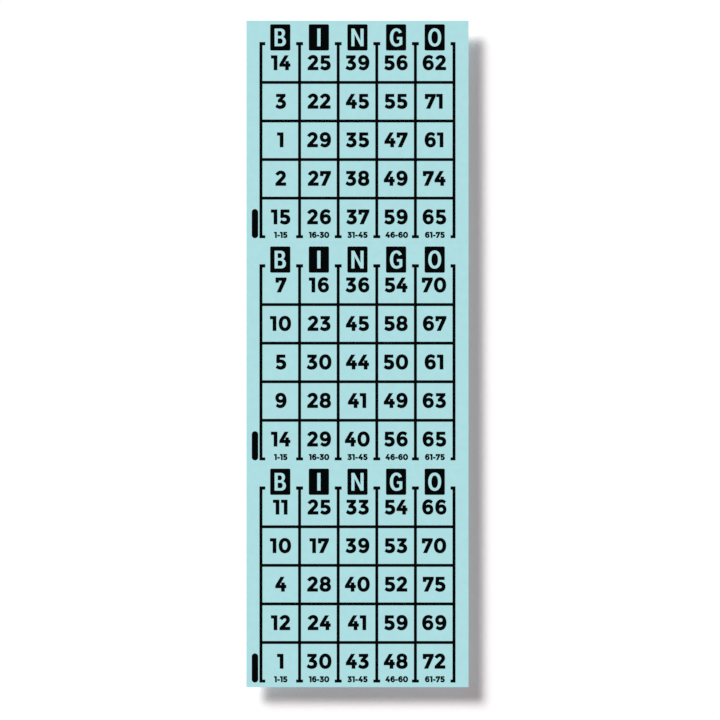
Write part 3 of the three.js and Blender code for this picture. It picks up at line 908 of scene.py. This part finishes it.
def row_middle(row, print_settings):
    """Height of the middle of a row's numbers, with the first row at the head."""
    middle = (grid_head(print_settings) + GRID_LOW.y) / 2 + print_settings.numeral_rise
    step = row_pitch(print_settings) * print_settings.numeral_row_share
    return middle - (row - (ROWS - 1) / 2) * step


def column_pitch(print_settings):
    """Distance from one upright bar of the grid to the next."""
    return (GRID_HIGH.x - GRID_LOW.x - print_settings.bar_width) / COLUMNS


def numeral_column(column, print_settings):
    """Place across the card of the middle of a column's numbers."""
    step = column_pitch(print_settings) * print_settings.numeral_pitch_share
    return (column - (COLUMNS - 1) / 2) * step


def open_cells(left, right, serif_left, serif_right, heights):
    """The open cells along one end of the grid, from the left, as one stretch of its outline.

    Each comes in at the grid's end between two serifs, widens past them to its bars, runs to the
    rule at its back, and goes out the same way. The heights are those of the end, the serifs' inner
    sides and the back.
    """
    end, inner, back = heights
    mouth_left, mouth_right = left + serif_left, right - serif_right
    across = np.stack([mouth_left, mouth_left, left, left, right, right, mouth_right, mouth_right], axis=-1)
    up = np.broadcast_to([end, inner, inner, back, back, inner, inner, end], across.shape)
    return np.stack([across, up], axis=-1).reshape(-1, 2)


def title_films(letter, low, high, print_settings):
    """The films of a title tile between two corners: the tile around its bare letter, and its eyes."""
    height = high.y - low.y - 2 * print_settings.letter_margin
    glyph, facet = GLYPH_SHARES[letter], print_settings.facet
    corner = ((low.x + high.x - glyph.width * height) / 2, low.y + print_settings.letter_margin)
    bare, *eyes = [path_of(outline, height, facet) + corner for outline in glyph.outlines]
    radius = print_settings.tile_corner
    tile = round_rectangle(low.x, low.y, high.x, high.y, radius, facet * TILE_FACET_SHARE)
    shapes = [(tile, [bare])] + [(eye, []) for eye in eyes]
    return [film(*shape, print_settings, print_settings.ink_spread) for shape in shapes]


def printed(card, name, shell, *stands_for):
    """A piece of print that rides on its card and stands for nodes of the frame."""
    piece = new_piece(f"{card}_{name}", moved(shell, 0, card_place(card)), ink_material())
    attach(piece, body_of(card))
    if stands_for:
        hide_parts(*(f"{card}_{node}" for node in stands_for))
    return piece


def node_on_card(card, node):
    """The corners of a frame node, from its card's middle."""
    place = Vector((0, card_place(card), 0))
    low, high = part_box(f"{card}_{node}")
    return low - place, high - place


# Operators


class STRIP_OT_card_stock(bpy.types.Operator):
    """Lay the three panels of card stock"""

    bl_idname = "strip.card_stock"
    bl_label = "Card Stock"

    def execute(self, context):
        settings = context.scene.strip_stock
        radius, steps = settings.cut_radius, settings.panel_steps + 1
        places = [card_place(card) for card in CARDS]
        across = np.linspace(STOCK_LOW.x + radius, STOCK_HIGH.x - radius, steps)
        for card, place in zip(CARDS, places):
            foot, head = place - CARD_HALF, place + CARD_HALF
            foot += settings.slit_width / 2 if place > min(places) else 0
            head -= settings.slit_width / 2 if place < max(places) else 0
            up = np.linspace(foot + radius, head - radius, steps)
            shell, cut = panel(across, up, STOCK_LOW.z, PAPER_TOP, radius)
            piece = new_piece(f"{card}_card_stock", shell, card_stock_material())
            piece.data.attributes.new("cut_edge", "FLOAT", "POINT").data.foreach_set("value", cut)
            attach(piece, body_of(card))
            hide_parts(f"card_{card}")
        return {"FINISHED"}


class STRIP_OT_fold_ties(bpy.types.Operator):
    """Bridge each perforated fold with ties of paper, faceted across the stretch where they bend"""

    bl_idname = "strip.fold_ties"
    bl_label = "Fold Ties"

    def execute(self, context):
        settings = context.scene.strip_stock
        if not frame["joints"]:
            raise RuntimeError("the frame has no folds")
        half, rise = settings.tie_width / 2, settings.tie_rise
        across = np.linspace(-half, half, TIE_SQUARES + 1)
        bend = np.linspace(-settings.tie_bend, settings.tie_bend, settings.tie_steps + 1)
        up = np.concatenate([[-settings.tie_reach], bend, [settings.tie_reach]])
        count = math.floor(2 * STOCK_HIGH.x / settings.tie_pitch)
        middles = (np.arange(count) - (count - 1) / 2) * settings.tie_pitch
        for joint in frame["joints"]:
            fold = joint["pos_m"][1]
            tie, _ = panel(across, fold + up, STOCK_LOW.z - rise, PAPER_TOP + rise, rise)
            shell = joined([moved(tie, middle, 0) for middle in middles])
            piece = new_piece(f"{joint['name']}_ties", shell, card_stock_material())
            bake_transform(piece)
        return {"FINISHED"}


class STRIP_OT_ruled_grids(bpy.types.Operator):
    """Print the ruled grid of each card, with its serifed bars"""

    bl_idname = "strip.ruled_grids"
    bl_label = "Ruled Grids"

    def execute(self, context):
        settings = context.scene.strip_print
        rule, across_pitch, up_pitch = settings.rule_width, column_pitch(settings), row_pitch(settings)
        foot, head, column = GRID_LOW.y, grid_head(settings), np.arange(COLUMNS)
        left = GRID_LOW.x + settings.bar_width + column * across_pitch
        right = GRID_LOW.x + (column + 1) * across_pitch
        serif_left = np.where(column == 0, settings.first_serif_reach, settings.serif_reach)
        bars = (left, right, serif_left, settings.serif_reach)
        foot_cells = open_cells(*bars, (foot, foot + rule, foot + up_pitch))
        head_cells = open_cells(*bars, (GRID_HIGH.y, head - rule, head - up_pitch))[::-1]
        corners = rectangle(GRID_LOW.x, foot, GRID_HIGH.x, GRID_HIGH.y)
        outer = np.vstack([corners[:1], foot_cells, corners[1:3], head_cells, corners[3:]])
        closed_rows = foot + rule + np.arange(1, ROWS - 1) * up_pitch
        cells = [rectangle(a, y, b, y + up_pitch - rule) for y in closed_rows for a, b in zip(left, right)]
        shell = film(outer, cells, settings, settings.ink_spread)
        for card in CARDS:
            printed(card, "ruled_grid", shell, "grid")
        return {"FINISHED"}


class STRIP_OT_numbers(bpy.types.Operator):
    """Print the numbers in the cells, which the frame has as figures on each card's solid"""

    bl_idname = "strip.numbers"
    bl_label = "Numbers"

    def execute(self, context):
        settings = context.scene.strip_print
        height = settings.numeral_height
        for card, rows in CARDS.items():
            lines = [
                (str(number), numeral_column(c, settings), row_middle(r, settings) - height / 2)
                for r, row in enumerate(rows)
                for c, number in enumerate(row)
            ]
            printed(card, "numbers", lines_of_print(lines, height, settings, settings.figure_spread, {}))
        return {"FINISHED"}


class STRIP_OT_range_labels(bpy.types.Operator):
    """Print the small labels that give the numbers a column can have, which are on the solid too"""

    bl_idname = "strip.range_labels"
    bl_label = "Range Labels"

    def execute(self, context):
        settings = context.scene.strip_print
        height, pitch = settings.label_height, column_pitch(settings)
        foot = GRID_LOW.y + settings.label_rise
        lines = []
        for column, step in enumerate(LABEL_STEP_SHARES):
            text = f"{column * NUMBERS_TO_LETTER + 1}-{(column + 1) * NUMBERS_TO_LETTER}"
            figures = [LABEL_FIGURES.get(figure, figure) for figure in text]
            lines.append((figures, numeral_column(column, settings) + step * pitch, foot))
        shell = lines_of_print(lines, height, settings, settings.ink_spread, LABEL_KERNS)
        for card in CARDS:
            printed(card, "range_labels", shell)
        return {"FINISHED"}


class STRIP_OT_title_tiles(bpy.types.Operator):
    """Print the black tiles above the columns, each with its letter left bare"""

    bl_idname = "strip.title_tiles"
    bl_label = "Title Tiles"

    def execute(self, context):
        settings = context.scene.strip_print
        for card in CARDS:
            for letter in TITLE:
                tile = f"tile_{letter.lower()}"
                shell = joined(title_films(letter, *node_on_card(card, tile), settings))
                printed(card, f"title_{letter.lower()}", shell, tile, *LETTER_EYES.get(letter, ()))
        return {"FINISHED"}


class STRIP_OT_margin_pills(bpy.types.Operator):
    """Print the black pill in each card's left margin"""

    bl_idname = "strip.margin_pills"
    bl_label = "Margin Pills"

    def execute(self, context):
        settings = context.scene.strip_print
        for card in CARDS:
            low, high = node_on_card(card, "pill")
            radius = (high.x - low.x) / 2
            outer = round_rectangle(low.x, low.y, high.x, high.y, radius, settings.facet)
            printed(card, "margin_pill", film(outer, [], settings, settings.ink_spread), "pill")
        return {"FINISHED"}


LAMP_SHARES = {-1: 0.25, 0: 0.5, 1: 0.25}  # of the key light, by the lamp's place along one way of its bank


class STRIP_OT_stage(bpy.types.Operator):
    """Set the backdrop, the lights and the camera"""

    bl_idname = "strip.stage"
    bl_label = "Stage"

    def execute(self, context):
        settings, scene = context.scene.strip_stage, context.scene
        half = settings.floor_size / 2
        corners = rectangle(-half, -half, half, half)
        mesh = bpy.data.meshes.new("backdrop")
        height = np.full(len(corners), CAD_BOX[0].z - settings.floor_drop)
        mesh.from_pydata(np.column_stack([corners, height]).tolist(), [], [(0, 1, 2, 3)])
        mesh.materials.append(backdrop_material(settings.floor_shade, settings.floor_glow))
        floor = bpy.data.objects.new("backdrop", mesh)

        lens = bpy.data.cameras.new("camera")
        lens.lens = settings.lens
        camera = bpy.data.objects.new("camera", lens)
        distance = settings.view_width * lens.lens / lens.sensor_width
        camera.location = (settings.view_right, settings.view_up, PAPER_TOP + distance)
        for thing in (floor, camera, *self.key_lamps(settings)):
            scene.collection.objects.link(thing)
        scene.camera = camera
        scene.view_settings.view_transform = "Standard"
        self.light_the_world(scene, settings.fill_strength)
        return {"FINISHED"}

    @staticmethod
    def key_lamps(settings):
        """A bank of key lamps whose shadows lie on a square grid, the inner ones the stronger.

        A lamp's strength is its share of the whole, over the cosine of its slant against the middle's,
        so that its share of the light on the floor is the one that the grid gives it.
        """
        middle = Vector((-settings.shadow_right, settings.shadow_down, settings.floor_drop))
        lamps = []
        for across, across_share in LAMP_SHARES.items():
            for up, up_share in LAMP_SHARES.items():
                towards = middle + Vector((across, up, 0)) * settings.lamp_step
                slant = middle.normalized().z / towards.normalized().z
                sun = bpy.data.lights.new("key_lamp", "SUN")
                sun.energy = settings.key_strength * across_share * up_share * slant
                sun.angle = settings.lamp_width
                lamp = bpy.data.objects.new("key_lamp", sun)
                lamp.rotation_euler = towards.to_track_quat("Z", "Y").to_euler()
                lamps.append(lamp)
        return lamps

    @staticmethod
    def light_the_world(scene, fill):
        """An even fill light, behind which the camera sees plain white."""
        world = bpy.data.worlds.new("studio")
        world.use_nodes = True
        tree = world.node_tree
        tree.nodes.clear()
        seen = add_node(tree, "ShaderNodeLightPath").outputs["Is Camera Ray"]
        dim = add_node(tree, "ShaderNodeBackground", {"Color": (1, 1, 1, 1), "Strength": fill})
        white = add_node(tree, "ShaderNodeBackground", {"Color": (1, 1, 1, 1), "Strength": 1})
        mix = add_node(tree, "ShaderNodeMixShader", {
            0: seen, 1: dim.outputs[0], 2: white.outputs[0],
        })
        add_node(tree, "ShaderNodeOutputWorld", {"Surface": mix.outputs[0]})
        scene.world = world


class STRIP_PT_sidebar(bpy.types.Panel):
    """The strip's settings and the operators that make its pieces"""

    bl_idname = "STRIP_PT_sidebar"
    bl_label = "Bingo Card Strip"
    bl_space_type = "VIEW_3D"
    bl_region_type = "UI"
    bl_category = "Bingo Strip"

    def draw(self, context):
        layout = self.layout
        for settings in (context.scene.strip_stock, context.scene.strip_print, context.scene.strip_stage):
            box = layout.box()
            for name in type(settings).__annotations__:
                box.prop(settings, name)
        for operator in OPERATORS:
            layout.operator(operator.bl_idname)


SETTINGS = {"strip_stock": StockSettings, "strip_print": PrintSettings, "strip_stage": StageSettings}
OPERATORS = (
    STRIP_OT_card_stock,
    STRIP_OT_fold_ties,
    STRIP_OT_ruled_grids,
    STRIP_OT_numbers,
    STRIP_OT_range_labels,
    STRIP_OT_title_tiles,
    STRIP_OT_margin_pills,
    STRIP_OT_stage,
)
CLASSES = (*SETTINGS.values(), *OPERATORS, STRIP_PT_sidebar)


def register():
    """Registers the classes and hangs the settings on the scene."""
    for cls in CLASSES:
        bpy.utils.register_class(cls)
    for name, cls in SETTINGS.items():
        setattr(bpy.types.Scene, name, PointerProperty(type=cls))


def unregister():
    """Takes the settings off the scene and removes the classes."""
    for name in SETTINGS:
        delattr(bpy.types.Scene, name)
    for cls in reversed(CLASSES):
        bpy.utils.unregister_class(cls)


def main():
    """Registers the add-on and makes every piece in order."""
    register()
    for operator in OPERATORS:
        group, name = operator.bl_idname.split(".")
        getattr(getattr(bpy.ops, group), name)()


if __name__ == "__main__":
    main()
